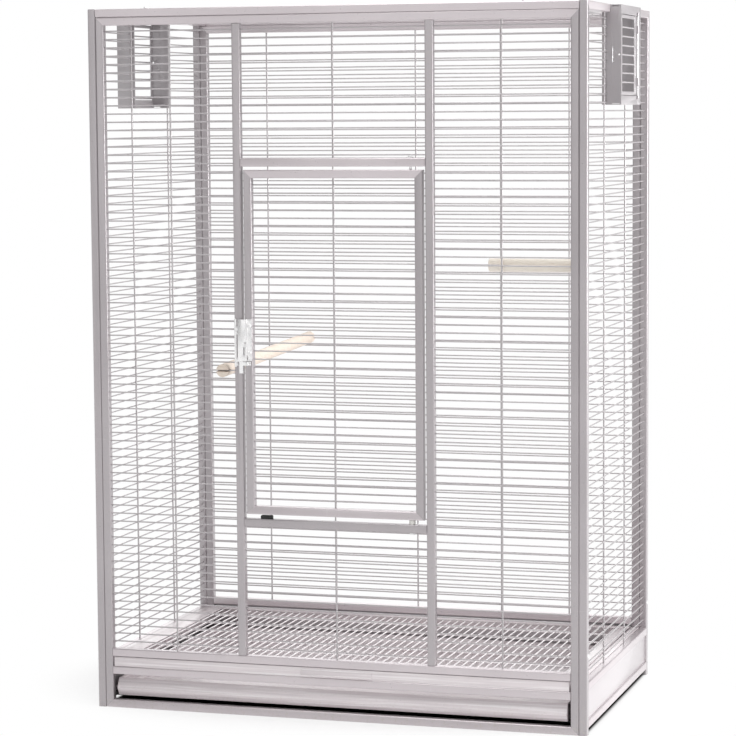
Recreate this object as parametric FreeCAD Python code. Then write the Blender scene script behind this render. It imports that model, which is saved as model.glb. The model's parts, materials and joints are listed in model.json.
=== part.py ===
import FreeCAD, Part
import math
import os

# A knock-down flight cage for small birds: framed wire panels, a front door on two pivot pins,
# a drawer grate over a drawer tray, two barred side ports and two clip-on perches.
# Millimetres, +Z up, front towards -Y. The origin is on the floor under the middle of the front panel.

V = FreeCAD.Vector

# Overall size
width = 787.0
depth = 470.0
height = 1092.0

# Square tube of every panel frame
tube = 12.7
tube_wall = 1.2
tube_corner = 2.0
mitre_overcut = 2.0

# Welded wire
row_pitch = 12.7
row_wire = 2.2
support_wire = 2.8
weld_bite = 0.6
row_edge_gap = 2.5
first_row = 105.5
crossing_half = 2.4

# Base, heights between the front rails and under the side and back rails
tray_slot = 40.3
grate_slot = 15.8
foot_gap = 9.5
side_grille_rail_low = 66.7
back_grille_rail_low = 83.0
skirt_sheet = 1.0
skirt_recess = 3.0

# Support wires, measured from the middle of each panel
front_side_support_from_post = 103.3
back_supports = (-262.0, -146.0, 0.0, 146.0, 262.0)
roof_supports = (-150.0, 0.0, 150.0)

# Front door and its way through the front panel
doorway = 292.0
sill_top = 309.0
header_low = 850.0
door_side_gap = 4.0
door_top_gap = 5.0
door_bottom_gap = 7.0
door_first_row = 10.9

# Door pivot
pivot_inset = 20.0
pin_diameter = 4.0
pin_play = 0.06
pin_head_diameter = 8.0
pin_head = 3.0
pin_engagement = 11.0
spacer_diameter = 9.6
spacer_play = 0.2

# Rubber stop on the sill
bumper_length = 18.0
bumper_depth = 8.0
bumper_from_post = 26.0
bumper_play = 1.6

# Slide latch on the free stile of the door
latch_sheet = 1.2
latch_plate_low = 553.0
latch_plate_height = 64.0
latch_cover_over_post = 5.5
latch_cover_width = 14.1
latch_flange_width = 7.0
latch_wall_low = 562.0
latch_lip_low = 569.0
latch_lip_height = 28.0
latch_lip_return = 3.0
latch_tongue_low = 561.5
latch_tongue_height = 13.5
latch_slit_width = 1.6
latch_sight_hole = 2.6
latch_sight_hole_height = 581.0
latch_rivet_heights = (566.0, 607.0)
bolt_width = 6.0
bolt_thickness = 2.4
bolt_play = 0.3
bolt_low = 534.0
bolt_height = 75.0
tooth_reach = 5.2
tooth_height = 6.5
tooth_lows = (552.0, 600.0)
finger_tab_height = 6.0
finger_tab_low = 546.0
finger_knob_diameter = 5.4
finger_knob_length = 9.0
finger_knob_from_cover = 0.7
keeper_low = 543.5
keeper_height = 74.0
keeper_strip = 3.4
keeper_ear = 6.0
keeper_ear_height = 7.0
keeper_inset = 6.4
stud_head = 2.7
stud_edge = 0.4
stud_play = 0.5
rivet_diameter = 3.0
rivet_head_diameter = 5.0
rivet_head = 1.2
rivet_grip = 2.2
rivet_play = 0.05

# Drawer grate
slide_play = 0.3
grate_side_play = 2.1
grate_sheet = 1.2
grate_strip = 14.9
grate_flange = 20.0
grate_back_play = 2.3
grate_front_recess = 1.0
grate_support_pitch = 66.7
grate_supports = 6
grate_wire_drop = 0.1
pull_length = 114.0
pull_height = 9.7
pull_out = 3.0
pull_sheet = 1.2

# Drawer tray
tray_gap_below = 5.9
tray_height = 27.4
tray_sheet = 1.2
tray_side_play = 6.1
tray_nose = 8.0
tray_nose_height = 12.4
tray_front_recess = 1.5
tray_back_play = 4.0

# Side ledges that carry the drawers
ledge_reach = 30.8
ledge_sheet = 1.2
tray_ledge_leg = 8.3

# Side ports, in the coordinates of the side panel
port_width = 150.0
port_low = 940.0
port_drop = 1.0
port_out = 17.0
port_sheet = 1.2
port_support_gap = 1.9
leaf_gap = 1.2
leaf_front_lip = 3.0
leaf_width = 114.0
leaf_low_lip = 15.0
leaf_height = 121.0
leaf_strip = 5.0
leaf_hinge_strip = 18.0
leaf_bars = 7
leaf_bar = 2.5
rod_diameter = 2.5
rod_play = 0.05
knuckle_diameter = 5.0
knuckle_length = 12.0
knuckle_inset = 14.0
lug_length = 5.0
rod_out = 1.2
leaf_pin_hole = 3.0
hem_slot = 1.6
hem_slot_in = 2.5
catch_wire = 1.5
catch_span = 22.6
catch_out = 3.5
catch_leg = 6.0

# Perches
dowel = 20.0
dowel_round = 1.0
perch_overhang = 8.0
kerf_play = 0.4
long_perch_front_x = -179.0
long_perch_back_x = -193.0
long_perch_front_row = 34
long_perch_back_row = 35
short_perch_row = 47
short_perch_inside = 148.3
short_perch_from_front = 25.0
short_perch_overhang = 1.2
free_kerf = 18.0

# Screws that join the panels
bolt_diameter = 4.0
bolt_grip = 8.0
bolt_head_diameter = 9.0
bolt_head = 2.4
bolt_hole_play = 0.1
socket_diameter = 2.6
socket_depth = 1.4
flush_head_diameter = 7.6
flush_head = 1.8
corner_bolt_inset = 121.0
roof_screw_x = 298.0

# Places that follow from the sizes
y_front = -tube / 2
y_back = depth - tube / 2
y_middle = (y_front + y_back) / 2
x_panel = width / 2 - tube
middle_rail_low = tube + tray_slot
upper_rail_low = middle_rail_low + tube + grate_slot
grille_low = upper_rail_low + tube
grille_high = height - 2 * tube
wire_plane = -tube / 2
support_plane = wire_plane - (row_wire + support_wire) / 2 + weld_bite
door_half = doorway / 2 - door_side_gap
door_low = sill_top + door_bottom_gap
door_high = header_low - door_top_gap
pivot_x = door_half - pivot_inset
door_post_outer = doorway / 2 + tube
tray_low = tube + tray_gap_below
grate_low = middle_rail_low + tube + slide_play
port_high = height - port_drop
port_support = port_width / 2 + port_support_gap + support_wire / 2
leaf_x_low = -port_width / 2 + leaf_front_lip
leaf_x_high = leaf_x_low + leaf_width
leaf_y_low = port_low + leaf_low_lip
leaf_y_high = leaf_y_low + leaf_height
rod_x = leaf_x_high + leaf_gap + knuckle_diameter / 2 - leaf_gap / 2
rod_z = port_out + rod_out


def placement(origin, across, up):
    """The place of a flat panel: its first axis, its second axis, and its outward normal."""
    out = across.cross(up)
    return FreeCAD.Placement(
        FreeCAD.Matrix(
            across.x, up.x, out.x, origin.x,
            across.y, up.y, out.y, origin.y,
            across.z, up.z, out.z, origin.z,
            0, 0, 0, 1,
        )
    )


FRONT = placement(V(0, y_front, 0), V(1, 0, 0), V(0, 0, 1))
BACK = placement(V(0, y_back, 0), V(-1, 0, 0), V(0, 0, 1))
RIGHT = placement(V(width / 2, y_middle, 0), V(0, 1, 0), V(0, 0, 1))
LEFT = placement(V(-width / 2, y_middle, 0), V(0, -1, 0), V(0, 0, 1))
ROOF = placement(V(0, y_middle, height), V(0, 1, 0), V(-1, 0, 0))

nodes = {}


def keep(name, shapes, panel=None):
    """File the solids of one node, set in their panel's place."""
    placed = []
    for shape in shapes:
        solid = shape.copy()
        if panel is not None:
            solid.Placement = panel
        placed.append(solid)
    nodes[name] = placed


def box(x0, x1, y0, y1, z0, z1):
    """A block between two corners."""
    return Part.makeBox(x1 - x0, y1 - y0, z1 - z0, V(x0, y0, z0))


def rod(start, direction, length, diameter):
    """A round bar."""
    return Part.makeCylinder(diameter / 2, length, start, direction)


def drill(shapes, start, direction, length, diameter):
    """The shapes with one hole through them."""
    tool = rod(start, direction, length, diameter)
    return [shape.cut(tool) for shape in shapes]


# Tube frames


def tube_bar(x0, x1, y0, y1, along):
    """A hollow tube with rounded edges in the plane of a panel, its outer face on the panel's face."""
    outer = box(x0, x1, y0, y1, -tube, 0)
    edges = [e for e in outer.Edges if abs(e.tangentAt(e.FirstParameter).dot(along)) > 0.99]
    outer = outer.makeFillet(tube_corner, edges)
    wall_x = tube_wall * (1 - abs(along.x))
    wall_y = tube_wall * (1 - abs(along.y))
    hollow = box(x0 + wall_x, x1 - wall_x, y0 + wall_y, y1 - wall_y, tube_wall - tube, -tube_wall)
    return outer.cut(hollow)


def rail(x0, x1, y_low):
    """A level tube."""
    return tube_bar(x0, x1, y_low, y_low + tube, V(1, 0, 0))


def stile(x_low, y0, y1):
    """An upright tube."""
    return tube_bar(x_low, x_low + tube, y0, y1, V(0, 1, 0))


def mitre(bar, x, y, toward_x, toward_y, level):
    """Cut a tube's end along the diagonal of a frame corner at (x, y)."""
    far = tube + mitre_overcut
    start = V(x - toward_x * mitre_overcut, y - toward_y * mitre_overcut, mitre_overcut)
    end = V(x + toward_x * far, y + toward_y * far, mitre_overcut)
    if level:
        third = V(start.x, end.y, mitre_overcut)
    else:
        third = V(end.x, start.y, mitre_overcut)
    waste = Part.Face(Part.makePolygon([start, end, third, start]))
    return bar.cut(waste.extrude(V(0, 0, -tube - 2 * mitre_overcut)))


def portal(x0, x1, y0, y1):
    """Two stiles and the rail mitred between their tops."""
    top = mitre(rail(x0, x1, y1 - tube), x0, y1, 1, -1, True)
    top = mitre(top, x1, y1, -1, -1, True)
    low_side = mitre(stile(x0, y0, y1), x0, y1, 1, -1, False)
    high_side = mitre(stile(x1 - tube, y0, y1), x1, y1, -1, -1, False)
    return top, low_side, high_side


def mitred_frame(x0, x1, y0, y1):
    """Four tubes mitred into a rectangle."""
    top, low_side, high_side = portal(x0, x1, y0, y1)
    bottom = mitre(rail(x0, x1, y0), x0, y0, 1, 1, True)
    bottom = mitre(bottom, x1, y0, -1, 1, True)
    low_side = mitre(low_side, x0, y0, 1, 1, False)
    high_side = mitre(high_side, x1, y0, -1, 1, False)
    return bottom, top, low_side, high_side


# Welded wire


def rows_between(low, high, datum):
    """Heights of the rows that fit between two rails, on one grid for the whole cage."""
    clear = row_edge_gap + row_wire / 2
    first = math.ceil((low + clear - datum) / row_pitch)
    last = math.floor((high - clear - datum) / row_pitch)
    return [datum + row_pitch * k for k in range(first, last + 1)]


def skin(start, direction, length, diameter, cap_start=False, cap_end=False):
    """The faces of one stretch of wire, with a cap only where the wire ends."""
    faces = []
    for face in rod(start, direction, length, diameter).Faces:
        along = (face.CenterOfMass - start).dot(direction)
        is_cap = isinstance(face.Surface, Part.Plane)
        if not is_cap or (cap_start and along < length / 4) or (cap_end and along > 3 * length / 4):
            faces.append(face)
    return faces


def moved(faces, step):
    """Copies of some faces, shifted."""
    copies = [face.copy() for face in faces]
    for face in copies:
        face.translate(step)
    return copies


def wire_grille(x0, x1, y0, y1, rows, columns, row_z, column_z, column_wire=support_wire):
    """One welded grille: level rows from x0 to x1, joined by support wires from y0 to y1.

    Every crossing is the same, so it is fused once and repeated, and the stretches of wire
    between the crossings are sewn to it.
    """
    across = V(1, 0, 0)
    up = V(0, 1, 0)
    crossing = rod(V(-crossing_half, 0, row_z), across, 2 * crossing_half, row_wire).fuse(
        rod(V(0, -row_pitch / 2, column_z), up, row_pitch, column_wire)
    )
    weld = [face for face in crossing.Faces if not isinstance(face.Surface, Part.Plane)]
    faces = []
    for y in rows:
        x_from = x0
        for x in columns:
            faces += moved(weld, V(x, y, 0))
            faces += skin(V(x_from, y, row_z), across, x - crossing_half - x_from, row_wire,
                          cap_start=x_from == x0)
            x_from = x + crossing_half
        faces += skin(V(x_from, y, row_z), across, x1 - x_from, row_wire, cap_end=True)
    below = rows[0] - row_pitch / 2
    above = rows[-1] + row_pitch / 2
    for x in columns:
        faces += end_of_column(x, column_z, below, y0, column_wire)
        faces += end_of_column(x, column_z, above, y1, column_wire)
    shell = Part.makeCompound(faces)
    shell.sewShape()
    solid = Part.makeSolid(shell)
    return solid if solid.Volume > 0 else solid.reversed()


def end_of_column(x, z, seam, end, diameter):
    """The faces of a support wire from its outermost crossing to its cut end."""
    if math.isclose(end, seam, abs_tol=0.01):
        return [Part.Face(Part.Wire([Part.makeCircle(diameter / 2, V(x, seam, z), V(0, 1, 0))]))]
    if end > seam:
        return skin(V(x, seam, z), V(0, 1, 0), end - seam, diameter, cap_end=True)
    return skin(V(x, end, z), V(0, 1, 0), seam - end, diameter, cap_start=True)


def flat_grille(x0, x1, y0, y1, rows, columns):
    """A grille in the middle of a panel's thickness, its support wires towards the inside."""
    return wire_grille(x0, x1, y0, y1, rows, columns, wire_plane, support_plane)


# Front panel


def front_panel():
    """The front frame, its door posts, header, sill and base rails, and the four fixed grilles."""
    bottom, top, left, right = mitred_frame(-x_panel, x_panel, 0, height - tube)
    inner = x_panel - tube
    keep("front_bottom_rail", [bottom], FRONT)
    keep("front_top_rail", [top], FRONT)
    keep("front_stile_left", [left], FRONT)
    keep("front_stile_right", [right], FRONT)
    keep("base_rail_middle", [rail(-inner, inner, middle_rail_low)], FRONT)
    keep("base_rail_upper", [rail(-inner, inner, upper_rail_low)], FRONT)
    keep("door_post_left", [stile(-door_post_outer, grille_low, grille_high)], FRONT)
    keep("door_post_right", [stile(doorway / 2, grille_low, grille_high)], FRONT)
    keep("door_header", [rail(-doorway / 2, doorway / 2, header_low)], FRONT)
    keep("door_sill", [rail(-doorway / 2, doorway / 2, sill_top - tube)], FRONT)
    side_rows = rows_between(grille_low, grille_high, first_row)
    for name, x0, x1 in (("left", -inner, -door_post_outer), ("right", door_post_outer, inner)):
        nearest_post = max(x0, -door_post_outer) if x0 > 0 else x1
        support = nearest_post + math.copysign(front_side_support_from_post, nearest_post)
        keep("front_wires_" + name,
             [flat_grille(x0, x1, grille_low, grille_high, side_rows, [support])], FRONT)
    for name, low, high in (("above", header_low + tube, grille_high),
                            ("below", grille_low, sill_top - tube)):
        rows = rows_between(low, high, first_row)
        keep("front_wires_" + name + "_door",
             [flat_grille(-doorway / 2, doorway / 2, low, high, rows, [0.0])], FRONT)


# Side panels, which carry the ports


def side_panels():
    """Posts, rails, wires and skirt of one side, set on both sides half a turn apart."""
    reach = depth / 2
    inner = reach - tube
    top, post_a, post_b = portal(-reach, reach, 0, height)
    grille_rail = rail(-inner, inner, side_grille_rail_low)
    bottom_rail = rail(-inner, inner, foot_gap)
    low = side_grille_rail_low + tube
    high = height - tube
    rows = rows_between(low, high, first_row)
    under_port = [y for y in rows if y < port_low - row_edge_gap]
    beside_port = rows[len(under_port):]
    split = under_port[-1] + row_pitch / 2
    port_side = port_width / 2
    wires = [
        flat_grille(-inner, inner, low, split, under_port, [-port_support, port_support]),
        flat_grille(-inner, -port_side, split, high, beside_port, [-port_support]),
        flat_grille(port_side, inner, split, high, beside_port, [port_support]),
    ]
    skirt = box(-inner, inner, foot_gap + tube, side_grille_rail_low,
                -skirt_recess - skirt_sheet, -skirt_recess)
    for name, panel in (("left", LEFT), ("right", RIGHT)):
        keep("side_posts_" + name, [post_a, post_b], panel)
        keep("side_rails_" + name, [top, grille_rail, bottom_rail], panel)
        keep("side_wires_" + name, wires, panel)
        keep("side_skirt_" + name, [skirt], panel)


# Back panel and roof


def back_panel():
    """The back frame, its grille and the skirt below it."""
    inner = x_panel - tube
    top, stile_a, stile_b = portal(-x_panel, x_panel, 0, height - tube)
    grille_rail = rail(-inner, inner, back_grille_rail_low)
    bottom_rail = rail(-inner, inner, foot_gap)
    low = back_grille_rail_low + tube
    rows = rows_between(low, grille_high, first_row)
    wires = flat_grille(-inner, inner, low, grille_high, rows, list(back_supports))
    skirt = box(-inner, inner, foot_gap + tube, back_grille_rail_low,
                -skirt_recess - skirt_sheet, -skirt_recess)
    keep("back_stiles", [stile_a, stile_b], BACK)
    keep("back_rails", [top, grille_rail, bottom_rail], BACK)
    keep("back_wires", [wires], BACK)
    keep("back_skirt", [skirt], BACK)


def roof_panel():
    """The roof frame, whose rows run from front to back."""
    reach = depth / 2
    low, high, front, back = mitred_frame(-reach, reach, -x_panel, x_panel)
    inner = x_panel - tube
    rows = rows_between(-inner, inner, 0.0)
    wires = flat_grille(-reach + tube, reach - tube, -inner, inner, rows, list(roof_supports))
    keep("roof_end_rails", [low, high], ROOF)
    keep("roof_long_rails", [front, back], ROOF)
    keep("roof_wires", [wires], ROOF)


# Front door, its pivots, stop and latch


def door():
    """The door leaf, its two pivot pins, the washer it stands on and the rubber stop."""
    bottom, top, left, right = mitred_frame(-door_half, door_half, door_low, door_high)
    inner = door_half - tube
    low = door_low + tube
    high = door_high - tube
    rows = rows_between(low, high, low + door_first_row)
    bore = pin_diameter + 2 * pin_play
    axis_low = V(pivot_x, sill_top - tube - pin_head, wire_plane)
    axis_high = V(pivot_x, header_low + tube + pin_head, wire_plane)
    bottom, = drill([bottom], V(pivot_x, door_low - 1, wire_plane), V(0, 1, 0), tube + 2, bore)
    top, = drill([top], V(pivot_x, high - 1, wire_plane), V(0, 1, 0), tube + 2, bore)
    keep("door_bottom_rail", [bottom], FRONT)
    keep("door_top_rail", [top], FRONT)
    keep("door_stile_latch_side", [left], FRONT)
    keep("door_stile_hinge_side", [right], FRONT)
    keep("door_wires", [flat_grille(-inner, inner, low, high, rows, [0.0])], FRONT)

    low_pin = rod(axis_low, V(0, 1, 0), pin_head, pin_head_diameter).fuse(
        rod(axis_low, V(0, 1, 0), door_low + pin_engagement - axis_low.y, pin_diameter))
    high_pin = rod(axis_high, V(0, -1, 0), pin_head, pin_head_diameter).fuse(
        rod(axis_high, V(0, -1, 0), axis_high.y - door_high + pin_engagement, pin_diameter))
    keep("door_pivot_pins", [low_pin, high_pin], FRONT)
    washer = rod(V(pivot_x, sill_top, wire_plane), V(0, 1, 0), door_bottom_gap - spacer_play,
                 spacer_diameter)
    keep("door_pivot_washer",
         drill([washer], axis_low, V(0, 1, 0), door_low, bore), FRONT)

    bumper_x = -doorway / 2 + bumper_from_post
    bumper = box(bumper_x, bumper_x + bumper_length, sill_top, door_low - bumper_play,
                 wire_plane - bumper_depth / 2, wire_plane + bumper_depth / 2)
    upper_edges = [e for e in bumper.Edges
                   if abs(e.CenterOfMass.y - door_low + bumper_play) < 0.01]
    keep("door_bumper", [bumper.makeFillet(1.5, upper_edges)], FRONT)
    for name in ("door_header", "door_sill"):
        start = FRONT.multVec(axis_low)
        nodes[name] = drill(nodes[name], start, V(0, 0, 1), height, bore)


def rivet(x, y, top, head_height, edge):
    """A round-headed rivet through a plate and the near wall of the tube behind it."""
    head = rod(V(x, y, top), V(0, 0, 1), head_height, rivet_head_diameter)
    rim = [e for e in head.Edges if abs(e.CenterOfMass.z - top - head_height) < 0.01]
    head = head.makeFillet(edge, rim)
    return head.fuse(rod(V(x, y, top - rivet_grip), V(0, 0, 1), rivet_grip, rivet_diameter))


def riveted(name, plate, places, post, rivets):
    """Drill a plate on the front and the tube behind it, and file them with their rivets."""
    hole = rivet_diameter + 2 * rivet_play
    plates = [plate]
    for x, y in places:
        start = V(x, y, latch_sheet - rivet_grip - rivet_play)
        plates = drill(plates, start, V(0, 0, 1), 2 * rivet_grip, hole)
        nodes[post] = drill(nodes[post], FRONT.multVec(start), V(0, -1, 0), 2 * rivet_grip, hole)
    keep(name, plates, FRONT)
    keep(name + "_rivets", rivets, FRONT)


def latch_plate(cover_x, bolt_x_high, cover_z):
    """A bent plate: a flange on the stile, a cover over the bolt, a lip and a lanced tongue that
    guide the bolt on its two sides."""
    high = latch_plate_low + latch_plate_height
    cover_z_high = cover_z + latch_sheet
    wall_x = cover_x + latch_cover_width
    tongue_x = bolt_x_high + bolt_play
    slit_x = tongue_x + latch_sheet
    tongue_high = latch_tongue_low + latch_tongue_height
    lip_high = latch_lip_low + latch_lip_height
    plate = box(cover_x, wall_x, latch_plate_low, high, cover_z, cover_z_high)
    for bend in (box(wall_x - latch_sheet, wall_x, latch_wall_low, high, 0, cover_z_high),
                 box(wall_x - latch_sheet, wall_x + latch_flange_width, latch_plate_low, high,
                     0, latch_sheet),
                 box(cover_x, cover_x + latch_sheet, latch_lip_low, lip_high, bolt_play, cover_z_high),
                 box(cover_x, cover_x + latch_lip_return, latch_lip_low, lip_high,
                     bolt_play, latch_sheet),
                 box(tongue_x, slit_x, latch_tongue_low, tongue_high, latch_sheet, cover_z_high)):
        plate = plate.fuse(bend)
    plate = plate.cut(box(slit_x, slit_x + latch_slit_width, latch_tongue_low, tongue_high,
                          cover_z - 1, cover_z_high + 1))
    sight_x = (slit_x + wall_x) / 2
    sight = rod(V(sight_x, latch_sight_hole_height, cover_z - 1), V(0, 0, 1), latch_sheet + 2,
                latch_sight_hole)
    plate = plate.cut(sight).removeSplitter()
    places = [(wall_x + latch_flange_width / 2, height) for height in latch_rivet_heights]
    rivets = [rivet(x, y, latch_sheet, rivet_head, rivet_head * 0.8) for x, y in places]
    riveted("latch_plate", plate, places, "door_stile_latch_side", rivets)


def latch_bolt(bolt_x, bolt_z, knob_x):
    """The sliding bolt, its two teeth and the knob that lifts it."""
    bolt_z_high = bolt_z + bolt_thickness
    bolt = box(bolt_x, bolt_x + bolt_width, bolt_low, bolt_low + bolt_height, bolt_z, bolt_z_high)
    for low in tooth_lows:
        bolt = bolt.fuse(box(bolt_x - tooth_reach, bolt_x, low, low + tooth_height,
                             bolt_z, bolt_z_high))
    tab = box(bolt_x, knob_x + finger_knob_diameter / 2, finger_tab_low,
              finger_tab_low + finger_tab_height, bolt_z, bolt_z_high)
    knob_y = finger_tab_low + finger_tab_height / 2
    knob = rod(V(knob_x, knob_y, bolt_z_high), V(0, 0, 1), finger_knob_length, finger_knob_diameter)
    knob_rim = [e for e in knob.Edges
                if abs(e.CenterOfMass.z - bolt_z_high - finger_knob_length) < 0.01]
    knob = knob.makeFillet(finger_knob_diameter / 3, knob_rim)
    keep("latch_bolt", [bolt.fuse(tab).fuse(knob).removeSplitter()], FRONT)


def latch_keeper():
    """A strip on the post with two ears, held by two studs that the bolt's teeth sit on."""
    ear_x_high = -doorway / 2 - keeper_inset
    keeper_x = ear_x_high - keeper_ear
    keeper = box(keeper_x, keeper_x + keeper_strip, keeper_low, keeper_low + keeper_height,
                 0, latch_sheet)
    places = []
    for low in tooth_lows:
        y = low - stud_play - rivet_head_diameter / 2
        keeper = keeper.fuse(box(keeper_x, ear_x_high, y - keeper_ear_height / 2,
                                 y + keeper_ear_height / 2, 0, latch_sheet))
        places.append(((keeper_x + ear_x_high) / 2, y))
    studs = [rivet(x, y, latch_sheet, stud_head, stud_edge) for x, y in places]
    riveted("latch_keeper", keeper.removeSplitter(), places, "door_post_left", studs)


def latch():
    """Bent plate and sliding bolt on the door, keeper strip on the post beside it."""
    cover_x = -doorway / 2 - latch_cover_over_post
    bolt_x = cover_x + latch_sheet + bolt_play
    bolt_z = latch_sheet + bolt_play
    knob_x = cover_x + latch_cover_width + finger_knob_from_cover + finger_knob_diameter / 2
    latch_plate(cover_x, bolt_x + bolt_width, bolt_z + bolt_thickness + bolt_play)
    latch_bolt(bolt_x, bolt_z, knob_x)
    latch_keeper()


# Drawers


def angle(reach_x, legs, y0, y1):
    """A folded strip along the depth, made of its legs."""
    shape = None
    for x0, x1, z0, z1 in legs:
        leg = box(min(x0 * reach_x, x1 * reach_x), max(x0 * reach_x, x1 * reach_x), y0, y1, z0, z1)
        shape = leg if shape is None else shape.fuse(leg)
    return shape.removeSplitter()


def ledges():
    """The strips on the side panels that the drawers slide on.

    The grate's also guide it and cover the space between its frame and the side rails.
    """
    y0 = y_front + tube
    y1 = y_back - tube
    inner = x_panel - ledge_reach
    tray_top = tray_low - slide_play
    grate_top = grate_low - slide_play
    tray_legs = [(inner, x_panel, tray_top - ledge_sheet, tray_top),
                 (x_panel - ledge_sheet, x_panel, tray_top - tray_ledge_leg, tray_top)]
    guide = x_panel - tube
    guide_top = side_grille_rail_low + tube
    grate_legs = [(inner, guide + ledge_sheet, grate_top - ledge_sheet, grate_top),
                  (guide, guide + ledge_sheet, grate_top - ledge_sheet, guide_top),
                  (guide, x_panel, guide_top - ledge_sheet, guide_top)]
    keep("tray_ledges", [angle(side, tray_legs, y0, y1) for side in (-1, 1)])
    keep("grate_ledges", [angle(side, grate_legs, y0, y1) for side in (-1, 1)])


def grate():
    """The wire floor in its frame of angle strips, with a pull on the front strip."""
    half = x_panel - tube - grate_side_play
    y0 = y_front + grate_front_recess
    y1 = y_back - tube - grate_back_play
    z0 = grate_low
    z1 = grate_low + grate_strip
    under = z1 - grate_sheet
    front = box(-half, half, y0, y0 + grate_sheet, z0, z1).fuse(
        box(-half, half, y0, y0 + grate_flange, under, z1))
    rear = box(-half, half, y1 - grate_sheet, y1, z0, z1).fuse(
        box(-half, half, y1 - grate_flange, y1, under, z1))
    strips = [front.removeSplitter(), rear.removeSplitter()]
    for side in (-1, 1):
        web = sorted((side * half, side * (half - grate_sheet)))
        flange = sorted((side * half, side * (half - grate_flange)))
        strip = box(web[0], web[1], y0 + grate_flange, y1 - grate_flange, z0, z1).fuse(
            box(flange[0], flange[1], y0 + grate_flange, y1 - grate_flange, under, z1))
        strips.append(strip.removeSplitter())
    keep("grate_frame", strips)

    wire_z = under - grate_wire_drop - row_wire / 2
    cross_z = wire_z - (row_wire + support_wire) / 2 + weld_bite
    middle = (y0 + y1) / 2
    floor = placement(V(0, middle, 0), V(0, 1, 0), V(-1, 0, 0))
    reach_y = (y1 - y0) / 2 - grate_sheet
    reach_x = half - grate_sheet
    crosses = [grate_support_pitch * (k - (grate_supports - 1) / 2) for k in range(grate_supports)]
    rows = rows_between(-reach_x, reach_x, 0.0)
    keep("grate_wires",
         [wire_grille(-reach_y, reach_y, -reach_x, reach_x, rows, crosses, wire_z, cross_z)], floor)

    pull_low = z0 + (grate_strip - pull_height) / 2
    plate = box(-pull_length / 2, pull_length / 2, y0 - pull_sheet, y0, pull_low,
                pull_low + pull_height)
    lip = box(-pull_length / 2, pull_length / 2, y0 - pull_out, y0, pull_low,
              pull_low + pull_sheet)
    keep("grate_pull", [plate.fuse(lip).removeSplitter()])


def tray():
    """The litter tray: a shallow pan whose front is folded into a nose."""
    half = x_panel - tube - tray_side_play
    lip_y = y_front + tray_front_recess + tray_nose
    y1 = y_back - tube - tray_back_play
    z0 = tray_low
    z1 = tray_low + tray_height
    pan = box(-half, half, lip_y, y1, z0, z1)
    inside = box(-half + tray_sheet, half - tray_sheet, lip_y - 1, y1 - tray_sheet,
                 z0 + tray_sheet, z1 + 1)
    fold = 1.5 * tray_sheet
    outline = [V(-half, lip_y, z0), V(-half, lip_y - tray_nose, z0 + tray_nose_height),
               V(-half, lip_y, z1), V(-half, lip_y + fold, z1),
               V(-half, lip_y - tray_nose + fold, z0 + tray_nose_height),
               V(-half, lip_y + fold, z0)]
    nose = Part.Face(Part.makePolygon(outline + outline[:1])).extrude(V(2 * half, 0, 0))
    keep("tray_pan", [pan.cut(inside).fuse(nose).removeSplitter()])


# Side ports


def port_frame():
    """A sheet-metal sleeve through the side panel, closed outside by a plate with the leaf's way."""
    side = port_width / 2
    sleeve_high = height - tube
    sheet = port_sheet
    hood = box(-side, side, port_low, port_high, 0, port_out)
    sleeve = box(-side, side, port_low, sleeve_high, -tube, 0)
    hood_space = box(-side + sheet, side - sheet, port_low + sheet, port_high - sheet,
                     sheet, port_out - sheet)
    sleeve_space = box(-side + sheet, side - sheet, port_low + sheet, sleeve_high - sheet,
                       -tube - 1, 2 * sheet)
    way = box(leaf_x_low - leaf_gap, rod_x + knuckle_diameter / 2 + leaf_gap,
              leaf_y_low - leaf_gap, leaf_y_high + leaf_gap, port_out - 2 * sheet, port_out + 1)
    frame = hood.fuse(sleeve).removeSplitter().cut(hood_space).cut(sleeve_space).cut(way)
    for low in (leaf_y_low - leaf_gap - lug_length, leaf_y_high + leaf_gap):
        frame = frame.fuse(rod(V(rod_x, low, rod_z), V(0, 1, 0), lug_length, knuckle_diameter))
    rod_bore = rod_diameter + 2 * rod_play
    frame, = drill([frame], V(rod_x, port_low, rod_z), V(0, 1, 0), port_high - port_low, rod_bore)
    holes = [(catch_height() - catch_span / 2, catch_out, catch_wire + 2 * rod_play),
             (catch_height() + catch_span / 2, catch_out, catch_wire + 2 * rod_play),
             (catch_height(), port_out - leaf_pin_hole, leaf_pin_hole)]
    for y, z, diameter in holes:
        frame, = drill([frame], V(-side - 1, y, z), V(1, 0, 0), 2 * sheet + 1, diameter)
    for low in (port_low + sheet, port_high - sheet - hem_slot):
        frame = frame.cut(box(-side - 1, -side + 2 * sheet, low, low + hem_slot,
                              hem_slot_in, port_out - hem_slot_in))
    return frame


def catch_height():
    """The height of the middle of the port leaf."""
    return (leaf_y_low + leaf_y_high) / 2


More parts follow.
